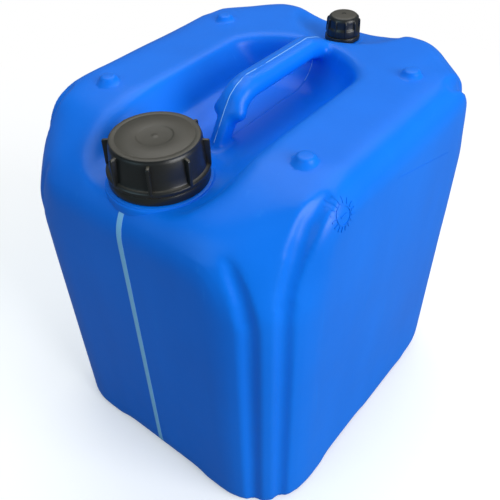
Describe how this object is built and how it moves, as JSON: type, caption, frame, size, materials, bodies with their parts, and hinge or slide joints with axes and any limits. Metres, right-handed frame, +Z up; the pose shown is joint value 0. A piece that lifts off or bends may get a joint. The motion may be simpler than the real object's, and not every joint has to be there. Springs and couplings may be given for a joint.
{
  "type": "jerry can",
  "caption": "Blow-moulded plastic jerry can with a handle moulded over its top, a screw-capped pouring neck, a capped vent and a translucent level stripe.",
  "frame": {"origin": "on the standing plane, under the middle of the can", "axes": "+Z up; Y is the can's length with the pouring neck at -Y and the vent at +Y; X is its width"},
  "size_m": [0.262, 0.304, 0.327],
  "materials": {
    "can_plastic": "blue polyethylene, satin from the mould",
    "stripe_plastic": "uncoloured translucent polyethylene",
    "cap_plastic": "black polyethylene, soft gloss",
    "seal_foam": "white foamed sealing disc"
  },
  "bodies": {
    "can": {"can_body": "can_plastic", "level_stripe": "stripe_plastic", "main_tamper_ring": "cap_plastic", "vent_tamper_ring": "cap_plastic"},
    "main_seal": {"main_seal": "seal_foam"},
    "main_cap": {"main_cap": "cap_plastic"},
    "vent_seal": {"vent_seal": "seal_foam"},
    "vent_cap": {"vent_cap": "cap_plastic"}
  },
  "joints": [
    {"name": "main_seal_rise", "type": "slide", "parent": "can", "child": "main_seal", "axis": [0, 0, 1], "range_m": [0, 0.01001]},
    {"name": "main_cap_turn", "type": "hinge", "parent": "main_seal", "child": "main_cap", "pos_m": [0, -0.107, 0.3], "axis": [0, 0, 1], "range_deg": [0, 720]},
    {"name": "vent_seal_rise", "type": "slide", "parent": "can", "child": "vent_seal", "axis": [0, 0, 1], "range_m": [0, 0.00601]},
    {"name": "vent_cap_turn", "type": "hinge", "parent": "vent_seal", "child": "vent_cap", "pos_m": [0, 0.1234, 0.31], "axis": [0, 0, 1], "range_deg": [0, 720]}
  ],
  "couplings": [
    {"joint": "main_seal_rise", "follows": "main_cap_turn", "m_per_rad": 0.00079577},
    {"joint": "vent_seal_rise", "follows": "vent_cap_turn", "m_per_rad": 0.00047746}
  ]
}
